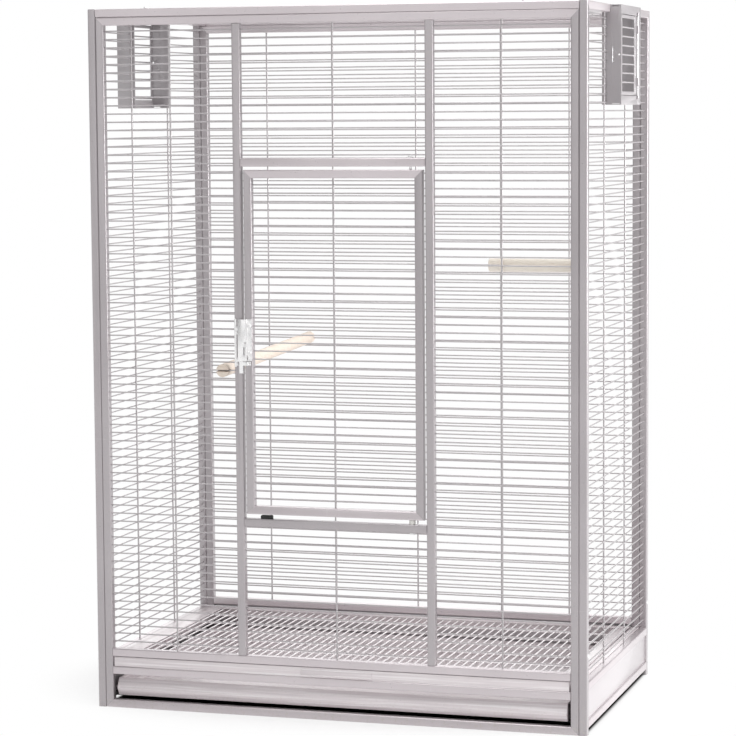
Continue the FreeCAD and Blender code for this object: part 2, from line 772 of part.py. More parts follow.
def port_leaf():
    """The barred leaf with its two knuckles and a finger tab."""
    z0 = port_out - port_sheet
    sheet = box(leaf_x_low, leaf_x_high, leaf_y_low, leaf_y_high, z0, port_out)
    window_x = leaf_x_high - leaf_hinge_strip
    window = box(leaf_x_low + leaf_strip, window_x, leaf_y_low + leaf_strip,
                 leaf_y_high - leaf_strip, z0 - 1, port_out + 1)
    leaf = sheet.cut(window)
    bar_pitch = (leaf_height - 2 * leaf_strip) / (leaf_bars + 1)
    bite = leaf_strip / 2
    for index in range(leaf_bars):
        y = leaf_y_low + leaf_strip + bar_pitch * (index + 1)
        leaf = leaf.fuse(rod(V(leaf_x_low + leaf_strip - bite, y, port_out - port_sheet / 2),
                             V(1, 0, 0), window_x - leaf_x_low - leaf_strip + 2 * bite, leaf_bar))
    for low in (leaf_y_low + knuckle_inset, leaf_y_high - knuckle_inset - knuckle_length):
        knuckle = rod(V(rod_x, low, rod_z), V(0, 1, 0), knuckle_length, knuckle_diameter)
        tongue = box(leaf_x_high - 1, rod_x, low, low + knuckle_length, z0, port_out)
        leaf = leaf.fuse(knuckle).fuse(tongue)
    leaf, = drill([leaf], V(rod_x, leaf_y_low, rod_z), V(0, 1, 0), leaf_height,
                  rod_diameter + 2 * rod_play)
    return leaf.removeSplitter()


def port_catch():
    """A wire staple through the front wall of the port."""
    x = -port_width / 2 - catch_wire / 2
    low = V(x, catch_height() - catch_span / 2, catch_out)
    high = V(x, catch_height() + catch_span / 2, catch_out)
    staple = rod(low, V(0, 1, 0), catch_span, catch_wire)
    for corner in (low, high):
        staple = staple.fuse(Part.makeSphere(catch_wire / 2, corner))
        staple = staple.fuse(rod(corner, V(1, 0, 0), catch_leg, catch_wire))
    return staple.removeSplitter()


def ports():
    """One port set on both sides, half a turn apart."""
    frame = port_frame()
    leaf = port_leaf()
    catch = port_catch()
    rod_low = leaf_y_low - leaf_gap - lug_length
    hinge_rod = rod(V(rod_x, rod_low, rod_z), V(0, 1, 0),
                    leaf_height + 2 * (leaf_gap + lug_length), rod_diameter)
    for name, panel in (("left", LEFT), ("right", RIGHT)):
        keep("port_frame_" + name, [frame], panel)
        keep("port_leaf_" + name, [leaf], panel)
        keep("port_hinge_rod_" + name, [hinge_rod], panel)
        keep("port_catch_" + name, [catch], panel)


# Perches


def perch(start, end, near, far):
    """A dowel with a kerf across each end; near and far give how far that end passes its place
    on the line and how deep the kerf reaches beyond the place."""
    near_over, near_kerf = near
    far_over, far_kerf = far
    along = end - start
    span = along.Length
    along.normalize()
    level = V(0, 0, 1).cross(along)
    level.normalize()
    bar = rod(V(-near_over, 0, 0), V(1, 0, 0), near_over + span + far_over, dowel)
    bar = bar.makeFillet(dowel_round, [e for e in bar.Edges if e.Closed])
    kerf = row_wire + 2 * kerf_play
    for inner, outer in ((near_kerf, -near_over - 1), (span - far_kerf, span + far_over + 1)):
        bar = bar.cut(box(min(inner, outer), max(inner, outer), -dowel, dowel, -kerf / 2, kerf / 2))
    bar.Placement = placement(start, along, level)
    return bar


def row_height(index):
    """The height of one wall row, counted from the lowest."""
    return first_row + row_pitch * index


def perches():
    """The long perch from front to back and the short perch on the right side panel."""
    y_rows_front = y_front - wire_plane
    y_rows_back = y_back + wire_plane
    seat = row_wire / 2 + kerf_play
    on_wire = (perch_overhang, seat)
    keep("perch_long", [perch(
        V(long_perch_front_x, y_rows_front, row_height(long_perch_front_row)),
        V(long_perch_back_x, y_rows_back, row_height(long_perch_back_row)), on_wire, on_wire)])
    x_rows_right = width / 2 + wire_plane
    y = y_front + short_perch_from_front
    z = row_height(short_perch_row)
    keep("perch_short", [perch(V(x_rows_right - short_perch_inside, y, z), V(x_rows_right, y, z),
                               (0, free_kerf), (short_perch_overhang, seat))])


# Screws


def screw(place, direction):
    """A button-head screw whose head sits on the face at the given place."""
    head = rod(place, direction * -1, bolt_head, bolt_head_diameter)
    rim = [e for e in head.Edges if (e.CenterOfMass - place).Length > bolt_head / 2]
    head = head.makeFillet(bolt_head * 0.7, [e for e in rim if e.Closed])
    socket_start = place - direction * bolt_head
    head = head.cut(rod(socket_start, direction, socket_depth, socket_diameter))
    return head.fuse(rod(place, direction, tube + bolt_grip, bolt_diameter)).removeSplitter()


def flush_head_cone(place, direction, play):
    """The cone of a countersunk head, or of its seat where there is play."""
    return Part.makeCone(flush_head_diameter / 2 + play, bolt_diameter / 2 + play, flush_head,
                         place, direction)


def flush_screw(place, direction):
    """A countersunk screw, its head level with the face at the given place."""
    shank = rod(place, direction, tube + bolt_grip, bolt_diameter)
    socket = rod(place, direction, socket_depth, socket_diameter)
    return flush_head_cone(place, direction, 0).fuse(shank).cut(socket).removeSplitter()


def screws():
    """Screws through the side posts into the front and back stiles, and down through the roof."""
    hole = bolt_diameter + 2 * bolt_hole_play
    grip = tube + bolt_grip
    corner_bolts = []
    for side, side_name in ((-1, "left"), (1, "right")):
        for y in (y_front + tube / 2, y_back - tube / 2):
            for z in (corner_bolt_inset, height - corner_bolt_inset):
                place = V(side * width / 2, y, z)
                inward = V(-side, 0, 0)
                corner_bolts.append(flush_screw(place, inward))
                seat = flush_head_cone(place, inward, bolt_hole_play)
                posts = "side_posts_" + side_name
                nodes[posts] = [post.cut(seat) for post in nodes[posts]]
                for name in (posts, "front_stile_" + side_name, "back_stiles"):
                    nodes[name] = drill(nodes[name], place, inward, grip, hole)
    keep("corner_bolts", corner_bolts)
    roof_screws = []
    for x in (-roof_screw_x, roof_screw_x):
        for y in (y_front + tube / 2, y_back - tube / 2):
            place = V(x, y, height)
            roof_screws.append(screw(place, V(0, 0, -1)))
            for name in ("roof_long_rails", "front_top_rail", "back_rails"):
                nodes[name] = drill(nodes[name], place, V(0, 0, -1), grip, hole)
    keep("roof_screws", roof_screws)


front_panel()
side_panels()
back_panel()
roof_panel()
door()
latch()
ledges()
grate()
tray()
ports()
perches()
screws()

os.makedirs("parts", exist_ok=True)
for name, solids in nodes.items():
    node = solids[0] if len(solids) == 1 else Part.makeCompound(solids)
    node.exportStep("parts/" + name + ".step")
    print(name, len(node.Solids), node.isValid(), round(node.Volume))
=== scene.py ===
"""Dresses the flight cage: coated tube, welded wire, drawers, ports, latch and perches."""
import json
import logging
import math
from abc import ABC, abstractmethod
from dataclasses import dataclass
from enum import Enum
from typing import Iterable, Mapping, Optional, Sequence, Union

import bmesh
import bpy
from mathutils import Matrix, Vector

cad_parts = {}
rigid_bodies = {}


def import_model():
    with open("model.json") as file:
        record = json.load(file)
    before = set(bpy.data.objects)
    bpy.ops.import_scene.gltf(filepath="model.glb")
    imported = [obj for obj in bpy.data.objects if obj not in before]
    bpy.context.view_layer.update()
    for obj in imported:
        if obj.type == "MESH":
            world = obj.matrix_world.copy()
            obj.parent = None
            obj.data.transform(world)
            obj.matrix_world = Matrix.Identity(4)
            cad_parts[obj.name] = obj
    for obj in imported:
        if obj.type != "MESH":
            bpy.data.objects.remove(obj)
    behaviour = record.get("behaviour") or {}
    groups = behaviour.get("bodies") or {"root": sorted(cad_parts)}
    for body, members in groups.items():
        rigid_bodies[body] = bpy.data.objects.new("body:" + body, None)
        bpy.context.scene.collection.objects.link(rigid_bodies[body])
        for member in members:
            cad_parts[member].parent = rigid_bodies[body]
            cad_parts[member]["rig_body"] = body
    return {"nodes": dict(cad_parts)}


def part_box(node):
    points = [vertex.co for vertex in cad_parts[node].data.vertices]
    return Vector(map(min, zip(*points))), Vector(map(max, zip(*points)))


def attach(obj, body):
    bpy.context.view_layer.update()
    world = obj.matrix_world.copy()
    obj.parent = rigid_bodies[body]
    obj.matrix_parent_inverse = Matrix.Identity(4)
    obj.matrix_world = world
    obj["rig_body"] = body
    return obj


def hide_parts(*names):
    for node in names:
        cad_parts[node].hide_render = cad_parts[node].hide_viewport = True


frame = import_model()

LOG = logging.getLogger("cage")
MM = 0.001


class Slot(Enum):
    """The record's material slots."""

    FRAME = "frame_coat"
    WIRE = "wire_coat"
    SHEET = "sheet_coat"
    ZINC = "zinc"
    WASHER = "washer"
    BUMPER = "bumper"
    DOWEL = "dowel"


class Body(Enum):
    """The bodies that the weld seams ride on."""

    CAGE = "cage"
    DOOR = "door"


Point = tuple[float, float, float]
Colour = tuple[float, float, float]


# Node trees


class Graph:
    """Adds nodes to one node tree, of a material or of Geometry Nodes."""

    def __init__(self, tree: bpy.types.NodeTree) -> None:
        """Takes the tree to build in."""
        self.tree = tree

    def add(
        self,
        kind: str,
        settings: Optional[Mapping[str, object]] = None,
        sockets: Optional[Mapping[Union[int, str], object]] = None,
        output: Union[int, str] = 0,
    ) -> "Signal":
        """Adds one node and wires it.

        Args:
            kind: The node's type.
            settings: Properties, which are set before the sockets.
            sockets: Values or signals for its inputs, by index or name.
            output: The output that is handed back.

        Returns:
            The chosen output as a signal.
        """
        node = self.tree.nodes.new(kind)
        for name, value in (settings or {}).items():
            setattr(node, name, value)
        for key, value in (sockets or {}).items():
            self.feed(node.inputs[key], value)
        return Signal(self, node.outputs[output]) if len(node.outputs) else Signal(self, None)

    def feed(self, socket: bpy.types.NodeSocket, value: object) -> None:
        """Links a signal to a socket, or sets a plain value on it.

        Args:
            socket: The input to feed.
            value: A signal, or a value of the socket's kind.
        """
        if isinstance(value, Signal):
            self.tree.links.new(value.socket, socket)
        else:
            socket.default_value = value


Operand = Union[float, "Signal"]


class Signal:
    """One output socket that can be used in Python sums."""

    def __init__(self, graph: Graph, socket: Optional[bpy.types.NodeSocket]) -> None:
        """Wraps a socket of a graph."""
        self.graph = graph
        self.socket = socket

    def _math(self, operation: str, first: Operand, second: Operand) -> "Signal":
        """Adds one Math node."""
        return self.graph.add("ShaderNodeMath", {"operation": operation}, {0: first, 1: second})

    def __add__(self, other: Operand) -> "Signal":
        """self + other"""
        return self._math("ADD", self, other)

    def __radd__(self, other: Operand) -> "Signal":
        """other + self"""
        return self._math("ADD", other, self)

    def __sub__(self, other: Operand) -> "Signal":
        """self - other"""
        return self._math("SUBTRACT", self, other)

    def __rsub__(self, other: Operand) -> "Signal":
        """other - self"""
        return self._math("SUBTRACT", other, self)

    def __mul__(self, other: Operand) -> "Signal":
        """self * other"""
        return self._math("MULTIPLY", self, other)

    def __rmul__(self, other: Operand) -> "Signal":
        """other * self"""
        return self._math("MULTIPLY", other, self)

    def band(self, low: float, high: float) -> "Signal":
        """A smooth step from 0 at one level to 1 at another.

        Args:
            low: The level that gives 0; it may be the larger one.
            high: The level that gives 1.

        Returns:
            The step.
        """
        return self.graph.add(
            "ShaderNodeMapRange",
            {"interpolation_type": "SMOOTHSTEP"},
            {"Value": self, "From Min": low, "From Max": high, "To Min": 0.0, "To Max": 1.0},
        )

    def blend(self, first: object, second: object) -> "Signal":
        """A colour mix by this signal.

        Args:
            first: The colour where the signal is 0.
            second: The colour where the signal is 1.

        Returns:
            The mixed colour.
        """
        return self.graph.add(
            "ShaderNodeMix", {"data_type": "RGBA"}, {0: self, 6: first, 7: second}, output=2
        )


# Finishes


def opaque(colour: Colour) -> tuple[float, float, float, float]:
    """The colour with full alpha."""
    return (*colour, 1.0)


@dataclass(frozen=True)
class Finish(ABC):
    """A surface finish, made into one material the first time it is asked for."""

    name: str
    slot: Slot

    def material(self) -> bpy.types.Material:
        """The finish's material.

        Returns:
            The material, the same one each time.
        """
        made = bpy.data.materials.get(self.name)
        if made is not None:
            return made
        made = bpy.data.materials.new(self.name)
        made.use_nodes = True
        made.node_tree.nodes.clear()
        graph = Graph(made.node_tree)
        shader = self.shader(graph)
        graph.add("ShaderNodeOutputMaterial", None, {"Surface": shader})
        return made

    @abstractmethod
    def shader(self, graph: Graph) -> Signal:
        """Builds the shader.

        Args:
            graph: The material's graph.

        Returns:
            The shader's output.
        """


def object_place(graph: Graph, scale: Point = (1.0, 1.0, 1.0),
                 turn: Point = (0.0, 0.0, 0.0)) -> Signal:
    """Object coordinates, turned and stretched.

    Args:
        graph: The material's graph.
        scale: Stretch along each axis.
        turn: Rotation in radians.

    Returns:
        The mapped coordinates.
    """
    place = graph.add("ShaderNodeTexCoord", output="Object")
    return graph.add("ShaderNodeMapping", None, {"Vector": place, "Rotation": turn, "Scale": scale})


def noise(graph: Graph, place: Signal, scale: float, detail: float = 2.0,
          roughness: float = 0.5) -> Signal:
    """A noise texture at one scale.

    Args:
        graph: The material's graph.
        place: The coordinates.
        scale: Features along one unit of the coordinates.
        detail: Octaves of finer noise.
        roughness: How strong the finer octaves are.

    Returns:
        The noise, about 0.5 in the middle.
    """
    return graph.add("ShaderNodeTexNoise", None, {"Vector": place, "Scale": scale,
                                                  "Detail": detail, "Roughness": roughness})


@dataclass(frozen=True)
class PearlCoat(Finish):
    """Baked powder coat with a fine hammered grain, pearl flecks and handling marks."""

    base: Colour = (0.475, 0.443, 0.457)
    shade: Colour = (0.38, 0.352, 0.366)
    fleck: Colour = (0.76, 0.73, 0.74)
    dust: Colour = (0.56, 0.51, 0.46)
    clouds_per_metre: float = 7.0
    grain_per_metre: float = 420.0
    hammer_share: float = 0.55
    pearl_share: float = 3.1
    level_streak_stretch: Point = (5.0, 5.0, 340.0)
    rub_patches_per_metre: float = 11.0
    rub_along: float = 14.0
    rub_across: float = 420.0
    dust_per_metre: float = 260.0
    grain_height: float = 0.00005
    gloss: float = 0.30
    metal: float = 0.55
    dust_height: float = 0.06
    speckle: float = 1.0
    mark_amount: float = 1.0
    streak: float = 0.0

    def shader(self, graph: Graph) -> Signal:
        """Builds the powder coat.

        Args:
            graph: The material's graph.

        Returns:
            The coat's shader.
        """
        place = object_place(graph)
        cloud = noise(graph, place, self.clouds_per_metre, 3.0)
        grain = noise(graph, place, self.grain_per_metre, 3.0, 0.65)
        hammer = graph.add("ShaderNodeTexVoronoi", {"feature": "SMOOTH_F1"},
                           {"Vector": place, "Scale": self.grain_per_metre * self.hammer_share,
                            "Smoothness": 0.6})
        pearls = noise(graph, place, self.grain_per_metre * self.pearl_share, 1.0).band(0.66, 0.74)
        pits = grain.band(0.40, 0.28)
        toned = (cloud.band(0.3, 0.72) * 0.35).blend(opaque(self.base), opaque(self.shade))
        # lighter and darker streaks that run level across the surface, as strong as streak sets
        level_streaks = noise(graph, object_place(graph, self.level_streak_stretch), 1.0, 2.0)
        toned = (level_streaks.band(0.50, 0.66) * self.streak).blend(toned, opaque(self.fleck))
        toned = (level_streaks.band(0.46, 0.34) * self.streak).blend(toned, opaque(self.shade))
        flecked = (pearls * (0.4 * self.speckle)).blend(toned, opaque(self.fleck))
        pitted = (pits * (0.3 * self.speckle)).blend(flecked, opaque(self.shade))
        rubs = self._rubs(graph)
        rubbed = (rubs * 0.35 * self.mark_amount).blend(pitted, opaque(self.fleck))
        colour = (self._dust(graph) * 0.4).blend(rubbed, opaque(self.dust))
        rough = grain * 0.12 + (self.gloss - 0.06) + rubs * 0.12
        bump = graph.add("ShaderNodeBump", None,
                         {"Strength": 0.5, "Distance": self.grain_height,
                          "Height": hammer + grain * 0.5})
        return graph.add("ShaderNodeBsdfPrincipled", None,
                         {"Base Color": colour, "Roughness": rough, "Metallic": self.metal,
                          "Coat Weight": 0.2, "Coat Roughness": 0.25, "Normal": bump})

    def _rubs(self, graph: Graph) -> Signal:
        """Thin rub marks that run level or upright in scattered patches.

        Args:
            graph: The material's graph.

        Returns:
            The marks, 1 where the coat is rubbed.
        """
        flat = object_place(graph, (self.rub_along, self.rub_along, self.rub_across))
        level = noise(graph, flat, 1.0, 2.0).band(0.68, 0.74)
        steep = object_place(graph, (self.rub_across, self.rub_across, self.rub_along))
        upright = noise(graph, steep, 1.0, 2.0).band(0.69, 0.75)
        patches = noise(graph, object_place(graph), self.rub_patches_per_metre, 2.0)
        return (level + upright) * patches.band(0.52, 0.66)

    def _dust(self, graph: Graph) -> Signal:
        """Seed dust that lies near the floor.

        Args:
            graph: The material's graph.

        Returns:
            The dust, 1 where a speck lies.
        """
        place = graph.add("ShaderNodeTexCoord", output="Object")
        height = graph.add("ShaderNodeSeparateXYZ", None, {"Vector": place}, output="Z")
        specks = noise(graph, object_place(graph), self.dust_per_metre, 2.0).band(0.56, 0.70)
        return height.band(self.dust_height, 0.0) * specks


@dataclass(frozen=True)
class ZincPlate(Finish):
    """Bright zinc plate with a fine draw grain and faint passivation tints."""

    base: Colour = (0.96, 0.95, 0.95)
    tint: Colour = (0.86, 0.86, 0.87)
    dull: Colour = (0.50, 0.49, 0.50)
    clouds_per_metre: float = 160.0
    draw_stretch: Point = (2600.0, 2600.0, 180.0)
    spots_per_metre: float = 900.0

    def shader(self, graph: Graph) -> Signal:
        """Builds the plated metal.

        Args:
            graph: The material's graph.

        Returns:
            The plate's shader.
        """
        place = object_place(graph)
        clouds = noise(graph, place, self.clouds_per_metre, 3.0).band(0.35, 0.7)
        drawn = noise(graph, object_place(graph, self.draw_stretch), 1.0, 3.0)
        spots = noise(graph, place, self.spots_per_metre, 2.0).band(0.66, 0.74)
        colour = (clouds * 0.6).blend(opaque(self.base), opaque(self.tint))
        colour = (spots * 0.6).blend(colour, opaque(self.dull))
        bump = graph.add("ShaderNodeBump", None,
                         {"Strength": 0.35, "Distance": 0.00003, "Height": drawn})
        return graph.add("ShaderNodeBsdfPrincipled", None,
                         {"Base Color": colour, "Roughness": drawn * 0.16 + 0.2 + spots * 0.2,
                          "Metallic": 0.85, "Normal": bump})


@dataclass(frozen=True)
class BareDowel(Finish):
    """Sanded pale hardwood whose grain runs along the perch."""

    along: Point = (0.0, 0.0, 0.0)
    early: Colour = (0.98, 0.93, 0.85)
    late: Colour = (0.92, 0.82, 0.70)
    pore: Colour = (0.50, 0.36, 0.23)
    band_stretch: Point = (5.0, 150.0, 150.0)
    fibre_stretch: Point = (26.0, 1400.0, 1400.0)
    pore_stretch: Point = (60.0, 1900.0, 1900.0)
    rings_per_metre: float = 95.0

    def shader(self, graph: Graph) -> Signal:
        """Builds the wood, whose long axis is the turned X axis.

        Args:
            graph: The material's graph.

        Returns:
            The wood's shader.
        """
        bands = noise(graph, object_place(graph, self.band_stretch, self.along), 1.0, 3.0)
        fibres = noise(graph, object_place(graph, self.fibre_stretch, self.along), 1.0, 3.0)
        pores = noise(graph, object_place(graph, self.pore_stretch, self.along), 1.0, 1.0)
        rings = graph.add("ShaderNodeTexWave", {"wave_type": "RINGS", "rings_direction": "X"},
                          {"Vector": object_place(graph, turn=self.along),
                           "Scale": self.rings_per_metre, "Distortion": 2.2, "Detail": 2.0,
                           "Detail Scale": 1.5})
        colour = (bands.band(0.36, 0.68) * 0.55).blend(opaque(self.early), opaque(self.late))
        colour = (rings * 0.18).blend(colour, opaque(self.late))
        colour = (fibres.band(0.5, 0.72) * 0.3).blend(colour, opaque(self.late))
        colour = (pores.band(0.66, 0.74) * 0.5).blend(colour, opaque(self.pore))
        bump = graph.add("ShaderNodeBump", None,
                         {"Strength": 0.4, "Distance": 0.00008, "Height": fibres - pores * 0.4})
        return graph.add("ShaderNodeBsdfPrincipled", None,
                         {"Base Color": colour, "Roughness": fibres * 0.2 + 0.5, "Normal": bump})


@dataclass(frozen=True)
class MouldedPart(Finish):
    """Moulded rubber or nylon with a matt skin."""

    base: Colour = (0.02, 0.02, 0.02)
    worn: Colour = (0.06, 0.06, 0.06)
    roughness: float = 0.6
    skin_per_metre: float = 1500.0
    wear_per_metre: float = 220.0

    def shader(self, graph: Graph) -> Signal:
        """Builds the moulded skin.

        Args:
            graph: The material's graph.

        Returns:
            The skin's shader.
        """
        place = object_place(graph)
        skin = noise(graph, place, self.skin_per_metre, 3.0)
        wear = noise(graph, place, self.wear_per_metre, 3.0).band(0.5, 0.68)
        colour = (wear * 0.6).blend(opaque(self.base), opaque(self.worn))
        bump = graph.add("ShaderNodeBump", None,
                         {"Strength": 0.3, "Distance": 0.00005, "Height": skin})
        return graph.add("ShaderNodeBsdfPrincipled", None,
                         {"Base Color": colour, "Roughness": skin * 0.2 + self.roughness - 0.1,
                          "Normal": bump})


@dataclass(frozen=True)
class StudioFloor(Finish):
    """White paper that shows as pure white away from the cage and keeps its soft shadow; beneath
    the cage's footprint it is painted near-black as painted shadow and gets no glow.
    """

    paper: Colour = (0.90, 0.90, 0.90)
    fibre: Colour = (0.86, 0.85, 0.86)
    fibres_per_metre: float = 60.0
    lift: float = 0.55
    near: float = 0.40
    far: float = 0.62
    depth_stretch: float = 1.6
    foot: tuple[float, float] = (0.3935, 0.235)
    foot_edge: float = 0.008
    # painted shadow: near-black paper colour beneath the cage's footprint
    painted_shadow_under_cage: Colour = (0.012, 0.011, 0.011)

    def shader(self, graph: Graph) -> Signal:
        """Builds the floor.

        Args:
            graph: The material's graph.

        Returns:
            The floor's shader.
        """
        fibres = noise(graph, object_place(graph), self.fibres_per_metre, 2.0)
        tone = (fibres * 0.04).blend(opaque(self.paper), opaque(self.fibre))
        outside_painted_shadow = self._outside_painted_shadow(graph)
        # painted shadow: the paper turns near-black beneath the footprint
        tone = outside_painted_shadow.blend(opaque(self.painted_shadow_under_cage), tone)
        paper = graph.add("ShaderNodeBsdfDiffuse", None, {"Color": tone})
        glow = graph.add("ShaderNodeEmission", None, {"Strength": 1.0})
        seen = graph.add("ShaderNodeLightPath", output="Is Camera Ray")
        mirrored = graph.add("ShaderNodeLightPath", output="Is Glossy Ray")
        place = object_place(graph, (1.0, self.depth_stretch, 1.0))
        away = graph.add("ShaderNodeVectorMath", {"operation": "LENGTH"}, {0: place},
                         output="Value")
        white = away.band(self.near, self.far) * (1.0 - self.lift) + self.lift
        # no glow beneath the footprint, so the painted shadow stays dark
        white = (seen + mirrored) * white * outside_painted_shadow
        return graph.add("ShaderNodeMixShader", None, {0: white, 1: paper, 2: glow})

    def _outside_painted_shadow(self, graph: Graph) -> Signal:
        """Where the floor is free of the painted shadow beneath the cage.

        Args:
            graph: The material's graph.

        Returns:
            1 outside the cage's footprint and 0 below its drawers, where the shadow is painted.
        """
        sides = []
        for axis, reach in zip("XY", self.foot):
            place = object_place(graph)
            along = graph.add("ShaderNodeSeparateXYZ", None, {"Vector": place}, output=axis)
            away = graph.add("ShaderNodeMath", {"operation": "ABSOLUTE"}, {0: along})
            sides.append(away.band(reach - self.foot_edge, reach))
        return graph.add("ShaderNodeMath", {"operation": "MAXIMUM"}, {0: sides[0], 1: sides[1]})


FRAME_COAT = PearlCoat("pearl_coat_on_tube", Slot.FRAME)
WIRE_COAT = PearlCoat("pearl_coat_on_wire", Slot.WIRE, base=(0.52, 0.495, 0.505),
                      grain_per_metre=700.0, grain_height=0.00003, mark_amount=0.5)
# Painted highlight: the wire coat made near-white on the drawer's grate, standing in for the light
# from above on its wires.
LIT_GRATE_COAT = PearlCoat("pearl_coat_lit_on_grate", Slot.WIRE, base=(0.90, 0.87, 0.88),
                       shade=(0.78, 0.74, 0.76), fleck=(0.95, 0.93, 0.94),
                       grain_per_metre=700.0, grain_height=0.00003, metal=0.15, mark_amount=0.5)
# Painted highlight: the tube coat made paler for level tubes, standing in for the light from above
# that they catch.
LIT_RAIL_COAT = PearlCoat("pearl_coat_lit_on_rails", Slot.FRAME, base=(0.66, 0.605, 0.625),
                      shade=(0.53, 0.482, 0.502))
PORT_COAT = PearlCoat("pearl_coat_on_ports", Slot.SHEET, base=(0.455, 0.43, 0.443),
                      shade=(0.36, 0.338, 0.352), grain_height=0.00002, metal=0.35, speckle=0.4)
SKIRT_COAT = PearlCoat("pearl_coat_on_skirts", Slot.SHEET, base=(0.60, 0.568, 0.582),
                       shade=(0.50, 0.472, 0.486), grain_height=0.00002, metal=0.35, speckle=0.35)
SHEET_COAT = PearlCoat("pearl_coat_on_sheet", Slot.SHEET, base=(0.78, 0.72, 0.735),
                       shade=(0.66, 0.605, 0.625), fleck=(0.93, 0.90, 0.91),
                       grain_height=0.00002, metal=0.2, speckle=0.35, streak=0.6)
# Painted shade: the tray ledges are coated near-black so the void beside the tray reads as deep
# shade.
SHADE_BLACK_LEDGE_COAT = PearlCoat("painted_shade_black_on_ledges", Slot.SHEET, base=(0.022, 0.021, 0.021),
                       shade=(0.014, 0.013, 0.013), fleck=(0.10, 0.095, 0.095), metal=0.1,
                       gloss=0.5, speckle=0.3, mark_amount=0.6)
ZINC = ZincPlate("bright_zinc", Slot.ZINC)
RUBBER = MouldedPart("black_rubber", Slot.BUMPER)
NYLON = MouldedPart("natural_nylon", Slot.WASHER, base=(0.78, 0.77, 0.74),
                    worn=(0.68, 0.66, 0.62), roughness=0.45)


# Panels


@dataclass(frozen=True)
class Panel:
    """A flat panel of the cage: a place on its outer face and its across and up directions."""

    origin: Point
    across: Point
    up: Point

    def place(self, x: float, y: float, out: float) -> Vector:
        """A point of the panel in the cage's frame; out is negative towards the inside."""
        across, up = Vector(self.across), Vector(self.up)
        return Vector(self.origin) + across * x + up * y + across.cross(up) * out


@dataclass(frozen=True)
class CageSizes:
    """The sizes that the panels share, in metres."""

    tube: float = 12.7 * MM
    pitch: float = 12.7 * MM
    first_row: float = 105.5 * MM
    row_wire: float = 2.2 * MM
    support_wire: float = 2.8 * MM
    weld_bite: float = 0.6 * MM
    row_edge_gap: float = 2.5 * MM
    door_first_row: float = 10.9 * MM

    @property
    def support_step(self) -> float:
        """How far a support wire lies inward of the rows."""
        return (self.row_wire + self.support_wire) / 2 - self.weld_bite

    def rows(self, low: float, high: float, datum: float) -> list[float]:
        """Heights of the rows that fit between two rails.

        Args:
            low: The lower rail's upper face.
            high: The upper rail's lower face.
            datum: A height that one row of the grid would have.

        Returns:
            The heights, lowest first.
        """
        clear = self.row_edge_gap + self.row_wire / 2
        first = math.ceil((low + clear - datum) / self.pitch)
        last = math.floor((high - clear - datum) / self.pitch)
        return [datum + self.pitch * index for index in range(first, last + 1)]


SIZES = CageSizes()


def outer_box() -> tuple[Vector, Vector]:
    """The frame's corners, without the ports and what stands proud of the front.

    Returns:
        The low corner and the high corner.
    """
    low_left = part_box("side_posts_left")[0]
    high_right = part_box("side_posts_right")[1]
    return low_left, high_right


CAGE_LOW, CAGE_HIGH = outer_box()
MIDDLE_Y = (CAGE_LOW.y + CAGE_HIGH.y) / 2
FRONT = Panel((0.0, CAGE_LOW.y, 0.0), (1.0, 0.0, 0.0), (0.0, 0.0, 1.0))
BACK = Panel((0.0, CAGE_HIGH.y, 0.0), (-1.0, 0.0, 0.0), (0.0, 0.0, 1.0))
RIGHT = Panel((CAGE_HIGH.x, MIDDLE_Y, 0.0), (0.0, 1.0, 0.0), (0.0, 0.0, 1.0))
LEFT = Panel((CAGE_LOW.x, MIDDLE_Y, 0.0), (0.0, -1.0, 0.0), (0.0, 0.0, 1.0))
ROOF = Panel((0.0, MIDDLE_Y, CAGE_HIGH.z), (0.0, 1.0, 0.0), (-1.0, 0.0, 0.0))


# Geometry Nodes


WELD_SPREAD = (0.85, 1.15)


class TreeInput(Enum):
    """Socket types of a tree's own inputs."""

    GEOMETRY = "NodeSocketGeometry"
    FLOAT = "NodeSocketFloat"
    INTEGER = "NodeSocketInt"
    MATERIAL = "NodeSocketMaterial"


